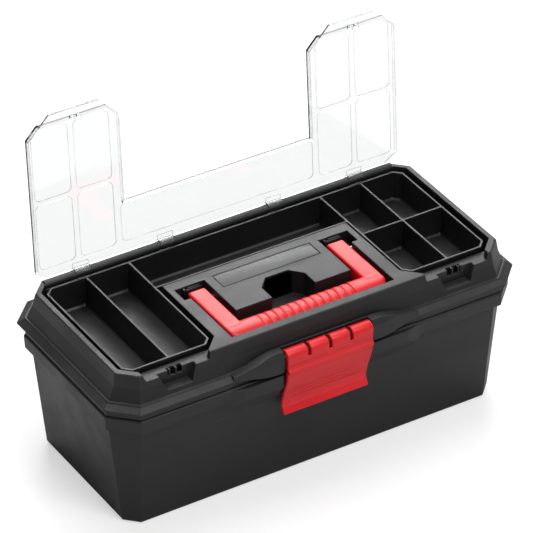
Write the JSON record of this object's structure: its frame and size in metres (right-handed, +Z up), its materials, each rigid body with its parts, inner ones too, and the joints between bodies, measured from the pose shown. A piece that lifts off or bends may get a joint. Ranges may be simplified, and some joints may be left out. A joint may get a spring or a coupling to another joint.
{
  "type": "toolbox",
  "caption": "Black plastic toolbox with a red carrying handle and front latch, a clear flip-up cover over an organiser in the lid, and a lift-out tray inside the tub.",
  "frame": {"origin": "middle of the flat sole, on the ground under the middle of the tub", "axes": "+Z up, +X along the length towards the right end, -Y towards the front with the latch"},
  "size_m": [0.4, 0.1987, 0.3085],
  "materials": {
    "shell_black": "fine-grained matte polypropylene",
    "organiser_black": "smooth satin polypropylene",
    "cover_clear": "clear polystyrene",
    "red_plastic": "satin moulded red",
    "pin_steel": "drawn wire",
    "tray_grey": "fine-grained matte polypropylene"
  },
  "bodies": {
    "tub": {"tub": "shell_black"},
    "lid": {"lid_shell": "shell_black", "organiser_insert": "organiser_black", "latch_pin": "pin_steel", "handle_pin_left": "pin_steel", "handle_pin_right": "pin_steel", "hinge_pin_left": "pin_steel", "hinge_pin_right": "pin_steel"},
    "cover": {"clear_cover": "cover_clear"},
    "handle": {"carry_handle": "red_plastic"},
    "latch": {"front_latch": "red_plastic"},
    "tray": {"lift_out_tray": "tray_grey"}
  },
  "joints": [
    {"name": "lid_hinge", "type": "hinge", "parent": "tub", "child": "lid", "pos_m": [0, 0.095, 0.117], "axis": [-1, 0, 0], "range_deg": [0, 100]},
    {"name": "cover_hinge", "type": "hinge", "parent": "lid", "child": "cover", "pos_m": [0, 0.0783, 0.1498], "axis": [1, 0, 0], "range_deg": [0, 94]},
    {"name": "handle_pivot", "type": "hinge", "parent": "lid", "child": "handle", "pos_m": [0, -0.002, 0.1432], "axis": [-1, 0, 0], "range_deg": [0, 90]},
    {"name": "latch_pivot", "type": "hinge", "parent": "lid", "child": "latch", "pos_m": [0, -0.0922, 0.1316], "axis": [-1, 0, 0], "range_deg": [0, 110]},
    {"name": "tray_lift", "type": "slide", "parent": "tub", "child": "tray", "axis": [0, 0, 1], "range_m": [0, 0.045]}
  ],
  "couplings": [
    {"joint": "tray_lift", "follows": "lid_hinge", "m_per_rad": 0.02578}
  ]
}
